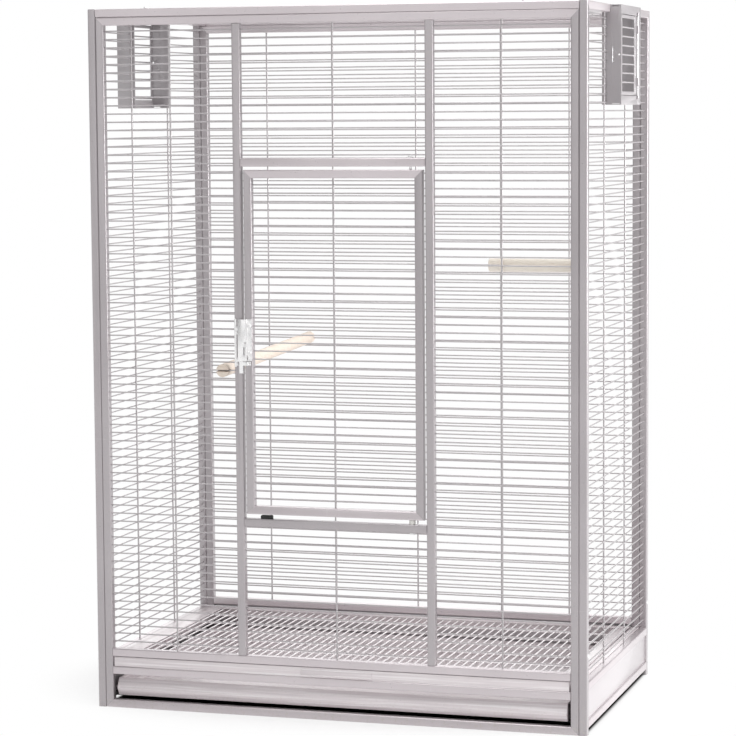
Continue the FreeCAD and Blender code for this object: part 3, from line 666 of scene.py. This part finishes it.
class ShapeTree:
    """A Geometry Nodes tree with named inputs that turns a guide mesh into finished shape."""

    def __init__(self, name: str, inputs: Mapping[str, TreeInput]) -> None:
        """Starts a tree.

        Args:
            name: The tree's name.
            inputs: The tree's inputs after the geometry, by name.
        """
        self.group = bpy.data.node_groups.new(name, "GeometryNodeTree")
        face = self.group.interface
        face.new_socket("Guide", in_out="INPUT", socket_type=TreeInput.GEOMETRY.value)
        for label, kind in inputs.items():
            face.new_socket(label, in_out="INPUT", socket_type=kind.value)
        face.new_socket("Shape", in_out="OUTPUT", socket_type=TreeInput.GEOMETRY.value)
        self.graph = Graph(self.group)
        self._entry = self.group.nodes.new("NodeGroupInput")

    def entry(self, label: str) -> Signal:
        """One of the tree's inputs."""
        return Signal(self.graph, self._entry.outputs[label])

    def end(self, shape: Signal, coat: Signal) -> None:
        """Realises the instances, sets the material and ends the tree.

        Args:
            shape: The finished geometry.
            coat: The material input.
        """
        real = self.graph.add("GeometryNodeRealizeInstances", None, {0: shape})
        smooth = self.graph.add("GeometryNodeSetShadeSmooth", None,
                                {0: real, "Shade Smooth": True})
        dressed = self.graph.add("GeometryNodeSetMaterial", None, {0: smooth, "Material": coat})
        self.graph.add("NodeGroupOutput", None, {0: dressed})

    def grow(self, name: str, guide: bpy.types.Mesh,
             values: Mapping[str, object]) -> bpy.types.Object:
        """Runs the tree on a guide mesh and keeps the result as a plain mesh.

        Args:
            name: The new piece's name.
            guide: The mesh that the tree starts from.
            values: The tree's inputs by name.

        Returns:
            The finished object, at the origin.
        """
        carrier = bpy.data.objects.new(name, guide)
        bpy.context.scene.collection.objects.link(carrier)
        modifier = carrier.modifiers.new("shape", "NODES")
        modifier.node_group = self.group
        for item in self.group.interface.items_tree:
            if item.in_out == "INPUT" and item.name in values:
                modifier[item.identifier] = values[item.name]
        depsgraph = bpy.context.evaluated_depsgraph_get()
        mesh = bpy.data.meshes.new_from_object(carrier.evaluated_get(depsgraph))
        carrier.modifiers.clear()
        carrier.data = mesh
        mesh.name = name
        bpy.data.meshes.remove(guide)
        return carrier


def rippled_wire_tree() -> ShapeTree:
    """Turns edges into round wires that are never quite straight, and points into weld nuggets.

    Returns:
        The tree.
    """
    tree = ShapeTree("welded_wire", {
        "Piece length": TreeInput.FLOAT, "Sides": TreeInput.INTEGER, "Ripple": TreeInput.FLOAT,
        "Ripple pitch": TreeInput.FLOAT, "Nugget": TreeInput.FLOAT, "Seed": TreeInput.INTEGER,
        "Coat": TreeInput.MATERIAL})
    graph = tree.graph
    guide = tree.entry("Guide")
    lines = graph.add("GeometryNodeMeshToCurve", None, {0: guide})
    lines = graph.add("GeometryNodeResampleCurve", {"mode": "LENGTH"},
                      {0: lines, "Length": tree.entry("Piece length")})
    place = graph.add("GeometryNodeInputPosition")
    seeded = graph.add("ShaderNodeVectorMath", {"operation": "ADD"},
                       {0: place, 1: tree.entry("Seed")})
    wave = graph.add("ShaderNodeTexNoise", None,
                     {"Vector": seeded, "Scale": tree.entry("Ripple pitch"), "Detail": 1.0},
                     output="Color")
    centred = graph.add("ShaderNodeVectorMath", {"operation": "SUBTRACT"},
                        {0: wave, 1: (0.5, 0.5, 0.5)})
    swing = graph.add("ShaderNodeVectorMath", {"operation": "SCALE"},
                      {0: centred, "Scale": tree.entry("Ripple")})
    ends = graph.add("GeometryNodeCurveEndpointSelection")
    inside = graph.add("FunctionNodeBooleanMath", {"operation": "NOT"}, {0: ends})
    lines = graph.add("GeometryNodeSetPosition", None,
                      {0: lines, "Selection": inside, "Offset": swing})
    profile = graph.add("GeometryNodeCurvePrimitiveCircle", None,
                        {"Resolution": tree.entry("Sides"), "Radius": 1.0})
    radius = graph.add("GeometryNodeInputNamedAttribute", {"data_type": "FLOAT"}, {0: "radius_m"})
    wires = graph.add("GeometryNodeCurveToMesh", None,
                      {0: lines, 1: profile, "Scale": radius, "Fill Caps": True})
    neighbours = graph.add("GeometryNodeInputMeshVertexNeighbors")
    loose = graph.add("FunctionNodeCompare", {"data_type": "INT", "operation": "EQUAL"},
                      {2: neighbours, 3: 0})
    points = graph.add("GeometryNodeMeshToPoints", None, {0: guide, "Selection": loose})
    points = graph.add("GeometryNodeSetPosition", None, {0: points, "Offset": swing})
    nugget = graph.add("GeometryNodeMeshIcoSphere", None, {"Radius": 1.0, "Subdivisions": 2})
    size = graph.add("FunctionNodeRandomValue", {"data_type": "FLOAT"},
                     {2: WELD_SPREAD[0], 3: WELD_SPREAD[1], "Seed": tree.entry("Seed")}, output=1)
    nuggets = graph.add("GeometryNodeInstanceOnPoints", None,
                        {0: points, "Instance": nugget, "Scale": size * tree.entry("Nugget")})
    both = graph.add("GeometryNodeJoinGeometry", None, {0: wires})
    graph.feed(both.socket.node.inputs[0], nuggets)
    tree.end(both, tree.entry("Coat"))
    return tree


def seam_tree() -> ShapeTree:
    """Turns edges into painted weld seams, each a row of overlapping flat ripples.

    Returns:
        The tree.
    """
    tree = ShapeTree("weld_seam", {
        "Ripple spacing": TreeInput.FLOAT, "Bead width": TreeInput.FLOAT,
        "Bead height": TreeInput.FLOAT, "Seed": TreeInput.INTEGER, "Coat": TreeInput.MATERIAL})
    graph = tree.graph
    lines = graph.add("GeometryNodeMeshToCurve", None, {0: tree.entry("Guide")})
    lines = graph.add("GeometryNodeResampleCurve", {"mode": "LENGTH"},
                      {0: lines, "Length": tree.entry("Ripple spacing")})
    facing = graph.add("GeometryNodeInputNamedAttribute", {"data_type": "FLOAT_VECTOR"},
                       {0: "facing"})
    turn = graph.add("FunctionNodeAlignRotationToVector", {"axis": "Z"}, {"Vector": facing})
    ripple = graph.add("GeometryNodeMeshIcoSphere", None, {"Radius": 0.5, "Subdivisions": 2})
    width = graph.add("FunctionNodeRandomValue", {"data_type": "FLOAT"},
                      {2: WELD_SPREAD[0], 3: WELD_SPREAD[1], "Seed": tree.entry("Seed")}, output=1)
    width = width * tree.entry("Bead width")
    scale = graph.add("ShaderNodeCombineXYZ", None,
                      {0: width, 1: width, 2: tree.entry("Bead height") * 2.0})
    beads = graph.add("GeometryNodeInstanceOnPoints", None,
                      {0: lines, "Instance": ripple, "Rotation": turn, "Scale": scale})
    tree.end(beads, tree.entry("Coat"))
    return tree


# Welded wire


@dataclass(frozen=True)
class Span:
    """One stretch of welded mesh: rows between two sides, joined by support wires."""

    x_low: float
    x_high: float
    y_low: float
    y_high: float
    rows: tuple[float, ...]
    supports: tuple[float, ...]


@dataclass
class WireMesh:
    """A welded grille on one panel, made of one or more spans."""

    node: str
    panel: Panel
    spans: list[Span]
    row_out: float = -SIZES.tube / 2
    seed: int = 1
    ripple: float = 0.22 * MM
    ripples_per_metre: float = 9.0
    piece_length: float = 14.0 * MM
    sides: int = 9
    nugget: float = 1.35 * MM
    coat: Finish = WIRE_COAT

    def build(self, tree: ShapeTree) -> bpy.types.Object:
        """Makes the grille in place of its CAD node.

        Args:
            tree: The wire tree.

        Returns:
            The grille.
        """
        guide = bpy.data.meshes.new(self.node + "_guide")
        points: list[Vector] = []
        edges: list[tuple[int, int]] = []
        radii: list[float] = []
        support_out = self.row_out - SIZES.support_step
        weld_out = self.row_out - SIZES.row_wire / 2
        for span in self.spans:
            for y in span.rows:
                self._wire(points, edges, radii, SIZES.row_wire / 2,
                           (span.x_low, y, self.row_out), (span.x_high, y, self.row_out))
            for x in span.supports:
                self._wire(points, edges, radii, SIZES.support_wire / 2,
                           (x, span.y_low, support_out), (x, span.y_high, support_out))
                for y in span.rows:
                    points.append(self.panel.place(x, y, weld_out))
                    radii.append(0.0)
        guide.from_pydata(points, edges, [])
        guide.attributes.new("radius_m", "FLOAT", "POINT").data.foreach_set("value", radii)
        grille = tree.grow("welded_" + self.node, guide, {
            "Piece length": self.piece_length, "Sides": self.sides, "Ripple": self.ripple,
            "Ripple pitch": self.ripples_per_metre, "Nugget": self.nugget, "Seed": self.seed,
            "Coat": self.coat.material()})
        return stand_in(grille, self.node, self.coat)

    def _wire(self, points: list[Vector], edges: list[tuple[int, int]], radii: list[float],
              radius: float, start: Point, end: Point) -> None:
        """Adds one wire to the guide.

        Args:
            points: The guide's points, which grow.
            edges: The guide's edges, which grow.
            radii: The radius at each point, which grow with the points.
            radius: The wire's radius.
            start: One end in the panel's coordinates.
            end: The other end.
        """
        edges.append((len(points), len(points) + 1))
        points.append(self.panel.place(*start))
        points.append(self.panel.place(*end))
        radii.extend((radius, radius))


def stand_in(piece: bpy.types.Object, node: str, finish: Finish) -> bpy.types.Object:
    """Lets a piece ride and be shown in place of a CAD node.

    Args:
        piece: The finished piece.
        node: The CAD node.
        finish: The piece's finish; not used.

    Returns:
        The piece.
    """
    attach(piece, frame["nodes"][node]["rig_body"])
    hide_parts(node)
    return piece


@dataclass
class WireWork:
    """Every welded grille of the cage."""

    side_supports: float = 78.3 * MM
    port_half: float = 75.0 * MM
    port_low: float = 940.0 * MM
    back_supports: tuple[float, ...] = (-262.0 * MM, -146.0 * MM, 0.0, 146.0 * MM, 262.0 * MM)
    roof_supports: tuple[float, ...] = (-150.0 * MM, 0.0, 150.0 * MM)
    front_support_from_post: float = 103.3 * MM
    grate_support_pitch: float = 66.7 * MM
    grate_supports: int = 6

    def build(self) -> None:
        """Makes all the grilles."""
        tree = rippled_wire_tree()
        meshes = [*self._front(), self._door(), *self._sides(), self._back(), self._roof(),
                  self._grate()]
        for seed, mesh in enumerate(meshes, start=1):
            mesh.seed = seed
            piece = mesh.build(tree)
            LOG.info("%s: %d faces", piece.name, len(piece.data.polygons))

    def _opening(self, node: str, across: int, up: int) -> tuple[float, float, float, float]:
        """A grille's sides along two axes of the frame.

        Args:
            node: The grille's CAD node.
            across: The first axis.
            up: The second axis.

        Returns:
            The low and the high side along each axis.
        """
        low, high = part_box(node)
        return low[across], high[across], low[up], high[up]

    def _front(self) -> Iterable[WireMesh]:
        """The four fixed grilles of the front.

        Returns:
            The grilles.
        """
        for node in ("front_wires_left", "front_wires_right"):
            x0, x1, y0, y1 = self._opening(node, 0, 2)
            if x1 < 0:
                support = x1 - self.front_support_from_post
            else:
                support = x0 + self.front_support_from_post
            rows = tuple(SIZES.rows(y0, y1, SIZES.first_row))
            yield WireMesh(node, FRONT, [Span(x0, x1, y0, y1, rows, (support,))])
        for node in ("front_wires_above_door", "front_wires_below_door"):
            x0, x1, y0, y1 = self._opening(node, 0, 2)
            rows = tuple(SIZES.rows(y0, y1, SIZES.first_row))
            yield WireMesh(node, FRONT, [Span(x0, x1, y0, y1, rows, (0.0,))])

    def _door(self) -> WireMesh:
        """The door's grille, on its own row grid.

        Returns:
            The grille.
        """
        x0, x1, y0, y1 = self._opening("door_wires", 0, 2)
        rows = tuple(SIZES.rows(y0, y1, y0 + SIZES.door_first_row))
        return WireMesh("door_wires", FRONT, [Span(x0, x1, y0, y1, rows, (0.0,))])

    def _sides(self) -> Iterable[WireMesh]:
        """Both side grilles, open where the ports are.

        Returns:
            The grilles.
        """
        for node, panel in (("side_wires_left", LEFT), ("side_wires_right", RIGHT)):
            y_front, y_back, low, high = self._opening(node, 1, 2)
            reach = (y_back - y_front) / 2
            rows = SIZES.rows(low, high, SIZES.first_row)
            under = [row for row in rows if row < self.port_low - SIZES.row_edge_gap]
            beside = rows[len(under):]
            split = under[-1] + SIZES.pitch / 2
            post = self.side_supports
            yield WireMesh(node, panel, [
                Span(-reach, reach, low, split, tuple(under), (-post, post)),
                Span(-reach, -self.port_half, split, high, tuple(beside), (-post,)),
                Span(self.port_half, reach, split, high, tuple(beside), (post,))])

    def _back(self) -> WireMesh:
        """The back grille.

        Returns:
            The grille.
        """
        x0, x1, y0, y1 = self._opening("back_wires", 0, 2)
        rows = tuple(SIZES.rows(y0, y1, SIZES.first_row))
        return WireMesh("back_wires", BACK, [Span(x0, x1, y0, y1, rows, self.back_supports)])

    def _roof(self) -> WireMesh:
        """The roof grille, whose rows run from front to back.

        Returns:
            The grille.
        """
        x0, x1, y_front, y_back = self._opening("roof_wires", 0, 1)
        reach = (y_back - y_front) / 2
        rows = tuple(SIZES.rows(x0, x1, 0.0))
        span = Span(-reach, reach, x0, x1, rows, self.roof_supports)
        return WireMesh("roof_wires", ROOF, [span])

    def _grate(self) -> WireMesh:
        """The walking grille of the drawer, its cross wires below.

        Returns:
            The grille.
        """
        low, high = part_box("grate_wires")
        reach_y = (high.y - low.y) / 2
        reach_x = high.x
        middle = (low.y + high.y) / 2
        floor = Panel((0.0, middle, 0.0), (0.0, 1.0, 0.0), (-1.0, 0.0, 0.0))
        crosses = tuple(self.grate_support_pitch * (index - (self.grate_supports - 1) / 2)
                        for index in range(self.grate_supports))
        rows = tuple(SIZES.rows(-reach_x, reach_x, 0.0))
        span = Span(-reach_y, reach_y, -reach_x, reach_x, rows, crosses)
        # the grate's near-white coat paints the light from above on its wires
        return WireMesh("grate_wires", floor, [span], row_out=high.z - SIZES.row_wire / 2,
                        coat=LIT_GRATE_COAT)


# Edges and part lists


@dataclass(frozen=True)
class EasedEdges:
    """Turns a CAD node into one with edges that are rolled or broken as the real ones are."""

    width: float = 0.3 * MM
    segments: int = 2
    angle: float = math.radians(35.0)
    flat_angle: float = math.radians(0.5)
    merge_distance: float = 0.001 * MM

    def apply(self, node: str, finish: Finish) -> bpy.types.Object:
        """Makes the eased piece in place of the node.

        Args:
            node: The CAD node.
            finish: The finish of the piece.

        Returns:
            The piece.
        """
        source = frame["nodes"][node]
        mesh = source.data.copy()
        work = bmesh.new()
        work.from_mesh(mesh)
        bmesh.ops.remove_doubles(work, verts=work.verts, dist=self.merge_distance)
        bmesh.ops.dissolve_limit(work, angle_limit=self.flat_angle, verts=work.verts,
                                 edges=work.edges)
        work.to_mesh(mesh)
        work.free()
        piece = bpy.data.objects.new("finished_" + node, mesh)
        bpy.context.scene.collection.objects.link(piece)
        bevel = piece.modifiers.new("eased", "BEVEL")
        bevel.width = self.width
        bevel.segments = self.segments
        bevel.limit_method = "ANGLE"
        bevel.angle_limit = self.angle
        bevel.use_clamp_overlap = True
        depsgraph = bpy.context.evaluated_depsgraph_get()
        eased = bpy.data.meshes.new_from_object(piece.evaluated_get(depsgraph))
        piece.modifiers.clear()
        piece.data = eased
        bpy.data.meshes.remove(mesh)
        eased.shade_smooth()
        eased.set_sharp_from_angle(angle=self.angle)
        eased.materials.clear()
        eased.materials.append(finish.material())
        return stand_in(piece, node, finish)


DRAWER_PARTS = ("tray_pan", "grate_frame", "grate_pull", "grate_ledges")
LEDGE_PARTS = ("tray_ledges",)
SKIRT_PARTS = ("side_skirt_left", "side_skirt_right", "back_skirt")
PORT_PARTS = ("port_frame_left", "port_frame_right", "port_leaf_left", "port_leaf_right")
ZINC_PARTS = ("latch_plate", "latch_bolt", "latch_keeper", "latch_plate_rivets",
              "latch_keeper_rivets", "door_pivot_pins", "port_hinge_rod_left",
              "port_hinge_rod_right", "port_catch_left", "port_catch_right", "corner_bolts",
              "roof_screws")
WIRE_NODES = ("front_wires_left", "front_wires_right", "front_wires_above_door",
              "front_wires_below_door", "door_wires", "side_wires_left", "side_wires_right",
              "back_wires", "roof_wires", "grate_wires")
OTHER_PARTS = ("door_bumper", "door_pivot_washer", "perch_long", "perch_short")
DRESSED_ELSEWHERE = (DRAWER_PARTS + LEDGE_PARTS + SKIRT_PARTS + PORT_PARTS + ZINC_PARTS
                     + WIRE_NODES + OTHER_PARTS)


# Tube frames


Seam = tuple[Vector, Vector, Vector]


@dataclass
class TubeFrames:
    """The painted tube of every panel, with the weld seams on its inner faces."""

    tube_edge: EasedEdges = EasedEdges(width=0.15 * MM)
    bead_width: float = 3.2 * MM
    bead_height: float = 0.55 * MM
    bead_spacing: float = 1.5 * MM
    bead_edge: float = 2.2 * MM
    bead_seed: int = 7

    def build(self) -> None:
        """Paints the tubes and lays the seams."""
        painted = [name for name, node in frame["nodes"].items()
                   if name not in DRESSED_ELSEWHERE and not node.hide_render]
        for name in painted:
            # level tubes get the paler coat, which paints the light from above
            coat = LIT_RAIL_COAT if self._gets_painted_highlight(name) else FRAME_COAT
            self.tube_edge.apply(name, coat)
        LOG.info("painted %d tube nodes", len(painted))
        tree = seam_tree()
        for body, seams in ((Body.CAGE.value, self._fixed_seams()),
                            (Body.DOOR.value, self._door_seams())):
            piece = self._beads(tree, "weld_seams_on_" + body, seams)
            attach(piece, body)
            LOG.info("%s: %d seams", piece.name, len(seams))

    @staticmethod
    def _gets_painted_highlight(name: str) -> bool:
        """Whether a tube node gets the paler coat, a painted highlight for the light from above, as
        all do but uprights and the sill.
        """
        return not any(word in name for word in ("stile", "post", "sill"))

    def _beads(self, tree: ShapeTree, name: str, seams: Sequence[Seam]) -> bpy.types.Object:
        """Grows the beads of some seams.

        Args:
            tree: The seam tree.
            name: The piece's name.
            seams: Start, end and facing of each seam.

        Returns:
            The piece.
        """
        guide = bpy.data.meshes.new(name + "_guide")
        points: list[Vector] = []
        facing: list[float] = []
        for start, end, out in seams:
            points += [start, end]
            facing += [*out, *out]
        edges = [(index, index + 1) for index in range(0, len(points), 2)]
        guide.from_pydata(points, edges, [])
        guide.attributes.new("facing", "FLOAT_VECTOR", "POINT").data.foreach_set("vector", facing)
        return tree.grow(name, guide, {
            "Ripple spacing": self.bead_spacing, "Bead width": self.bead_width,
            "Bead height": self.bead_height, "Seed": self.bead_seed,
            "Coat": FRAME_COAT.material()})

    def _butt(self, rail: str, panel: Panel) -> list[Seam]:
        """Seams at both ends of a level tube, on its inner face.

        Args:
            rail: The tube's node.
            panel: The panel that it belongs to.

        Returns:
            The seams.
        """
        low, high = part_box(rail)
        inward = -Vector(panel.across).cross(Vector(panel.up))
        y = high.y if inward.y > 0 else low.y
        seams = []
        for x in (low.x, high.x):
            seams.append((Vector((x, y, low.z + self.bead_edge)),
                          Vector((x, y, high.z - self.bead_edge)), inward))
        return seams

    def _corners(self, panel: Panel, x0: float, x1: float, y0: float, y1: float,
                 bottom: bool = True) -> list[Seam]:
        """Seams across the mitres of a rectangular frame, on its inner face.

        Args:
            panel: The frame's panel.
            x0: The frame's low side across the panel.
            x1: Its high side.
            y0: Its foot.
            y1: Its top.
            bottom: Whether it has a bottom tube.

        Returns:
            The seams.
        """
        inward = -Vector(panel.across).cross(Vector(panel.up))
        corners = [(x0, y1, 1, -1), (x1, y1, -1, -1)]
        if bottom:
            corners += [(x0, y0, 1, 1), (x1, y0, -1, 1)]
        near, far = self.bead_edge, SIZES.tube - self.bead_edge
        return [(panel.place(x + dx * near, y + dy * near, -SIZES.tube),
                 panel.place(x + dx * far, y + dy * far, -SIZES.tube), inward)
                for x, y, dx, dy in corners]

    def _fixed_seams(self) -> list[Seam]:
        """The seams of the fixed frames.

        Returns:
            The seams.
        """
        seams = []
        for rail in ("base_rail_middle", "base_rail_upper", "door_header", "door_sill"):
            seams += self._butt(rail, FRONT)
        low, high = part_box("front_stile_left")[0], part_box("front_stile_right")[1]
        seams += self._corners(FRONT, low.x, high.x, 0.0, high.z)
        seams += self._corners(BACK, low.x, high.x, 0.0, high.z, bottom=False)
        reach = (CAGE_HIGH.y - CAGE_LOW.y) / 2
        for panel in (LEFT, RIGHT):
            seams += self._corners(panel, -reach, reach, 0.0, CAGE_HIGH.z, bottom=False)
        seams += self._corners(ROOF, -reach, reach, low.x, high.x)
        return seams

    def _door_seams(self) -> list[Seam]:
        """The seams of the door's mitres."""
        low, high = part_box("door_stile_latch_side")[0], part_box("door_stile_hinge_side")[1]
        return self._corners(FRONT, low.x, high.x, low.z, high.z)


# Sheet metal and small parts


@dataclass
class SmallParts:
    """Sheet metal, plated fittings, rubber and nylon."""

    sheet_edge: EasedEdges = EasedEdges(width=0.25 * MM)
    fitting_edge: EasedEdges = EasedEdges(width=0.22 * MM)

    def build(self) -> None:
        """Finishes every piece."""
        # the tray ledges get the near-black coat that paints shade beside the tray
        for nodes, coat in ((DRAWER_PARTS, SHEET_COAT), (LEDGE_PARTS, SHADE_BLACK_LEDGE_COAT),
                            (SKIRT_PARTS, SKIRT_COAT), (PORT_PARTS, PORT_COAT)):
            for node in nodes:
                self._finish(node, self.sheet_edge, coat)
        for node in ZINC_PARTS:
            self._finish(node, self.fitting_edge, ZINC)
        self._finish("door_bumper", self.fitting_edge, RUBBER)
        self._finish("door_pivot_washer", self.fitting_edge, NYLON)

    def _finish(self, node: str, edge: EasedEdges, finish: Finish) -> None:
        """Finishes one piece and reports it."""
        piece = edge.apply(node, finish)
        LOG.info("%s: %d faces", piece.name, len(piece.data.polygons))


@dataclass
class Perches:
    """The two bare dowels."""

    long_end_x: tuple[float, float] = (-179.0 * MM, -193.0 * MM)
    dowel_edge: EasedEdges = EasedEdges()

    def build(self) -> None:
        """Gives each dowel wood whose grain follows it."""
        low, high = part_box("perch_long")
        span = high.y - low.y
        yaw = math.atan2(span, self.long_end_x[1] - self.long_end_x[0])
        along = BareDowel("dowel_front_to_back", Slot.DOWEL, along=(0.0, 0.0, -yaw),
                          early=(0.78, 0.69, 0.61), late=(0.70, 0.59, 0.49))
        across = BareDowel("dowel_across", Slot.DOWEL)
        for node, finish in (("perch_long", along), ("perch_short", across)):
            piece = self.dowel_edge.apply(node, finish)
            LOG.info("%s: %d faces", piece.name, len(piece.data.polygons))


# Studio


@dataclass(frozen=True)
class Lamp:
    """A soft square lamp that faces the middle of the cage."""

    name: str
    place: Point
    size: float
    power: float

    def hang(self) -> None:
        """Hangs the lamp."""
        data = bpy.data.lights.new(self.name, "AREA")
        data.shape = "SQUARE"
        data.size = self.size
        data.energy = self.power
        lamp = bpy.data.objects.new(self.name, data)
        lamp.location = self.place
        aim = Vector((0.0, MIDDLE_Y, CAGE_HIGH.z / 2)) - Vector(self.place)
        lamp.rotation_euler = aim.to_track_quat("-Z", "Y").to_euler()
        bpy.context.scene.collection.objects.link(lamp)


@dataclass
class Studio:
    """White paper, soft lamps and the photograph's camera."""

    lamps: tuple[Lamp, ...] = (
        Lamp("key_right", (4.2, 0.6, 1.6), 2.8, 210.0),
        Lamp("front_fill", (-1.0, -3.8, 2.2), 2.6, 14.0),
        Lamp("top_soft", (0.2, 0.0, 3.8), 3.2, 105.0),
        Lamp("back_rim", (-1.6, 4.6, 2.3), 4.0, 60.0),
    )
    surround: float = 0.42
    camera_place: Point = (1.24, -3.8706, 0.9293)
    yaw: float = math.radians(17.046)
    pitch: float = math.radians(-5.415)
    roll: float = math.radians(-0.403)
    lens_mm: float = 131.34
    sensor_mm: float = 36.0
    paper_side: float = 60.0

    def build(self) -> None:
        """Sets up the floor, the world, the lamps and the camera."""
        self._paper()
        self._world()
        for lamp in self.lamps:
            lamp.hang()
        self._camera()

    def _paper(self) -> None:
        """Lays the floor."""
        mesh = bpy.data.meshes.new("paper_floor")
        half = self.paper_side / 2
        corners = [(-half, -half, 0.0), (half, -half, 0.0), (half, half, 0.0), (-half, half, 0.0)]
        mesh.from_pydata(corners, [], [(0, 1, 2, 3)])
        mesh.materials.append(StudioFloor("studio_paper", Slot.FRAME).material())
        floor = bpy.data.objects.new("paper_floor", mesh)
        floor.location.y = MIDDLE_Y
        bpy.context.scene.collection.objects.link(floor)

    def _world(self) -> None:
        """A soft white surround that the eye sees as pure white."""
        world = bpy.data.worlds.new("white_surround")
        bpy.context.scene.world = world
        world.use_nodes = True
        world.node_tree.nodes.clear()
        graph = Graph(world.node_tree)
        seen = graph.add("ShaderNodeLightPath", output="Is Camera Ray")
        soft = graph.add("ShaderNodeBackground", None,
                         {"Color": (1.0, 1.0, 1.0, 1.0), "Strength": self.surround})
        white = graph.add("ShaderNodeBackground", None,
                          {"Color": (1.0, 1.0, 1.0, 1.0), "Strength": 1.0})
        both = graph.add("ShaderNodeMixShader", None, {0: seen, 1: soft, 2: white})
        graph.add("ShaderNodeOutputWorld", None, {"Surface": both})

    def _camera(self) -> None:
        """Sets the camera where the photograph was taken from."""
        level_forward = Vector((-math.sin(self.yaw), math.cos(self.yaw), 0.0))
        level_right = Vector((math.cos(self.yaw), math.sin(self.yaw), 0.0))
        upright = Vector((0.0, 0.0, 1.0))
        forward = level_forward * math.cos(self.pitch) + upright * math.sin(self.pitch)
        up = upright * math.cos(self.pitch) - level_forward * math.sin(self.pitch)
        right = level_right * math.cos(self.roll) + up * math.sin(self.roll)
        up = up * math.cos(self.roll) - level_right * math.sin(self.roll)
        data = bpy.data.cameras.new("studio_camera")
        data.lens = self.lens_mm
        data.sensor_width = self.sensor_mm
        data.sensor_fit = "HORIZONTAL"
        camera = bpy.data.objects.new("studio_camera", data)
        turned = Matrix((right, up, -forward)).transposed().to_4x4()
        camera.matrix_world = Matrix.Translation(self.camera_place) @ turned
        bpy.context.scene.collection.objects.link(camera)
        bpy.context.scene.camera = camera


def main() -> None:
    """Builds the cage's looks and the studio."""
    logging.basicConfig(level=logging.INFO, format="%(name)s: %(message)s")
    bpy.context.scene.view_settings.view_transform = "Standard"
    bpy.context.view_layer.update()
    WireWork().build()
    SmallParts().build()
    Perches().build()
    TubeFrames().build()
    Studio().build()


if __name__ == "__main__":
    main()
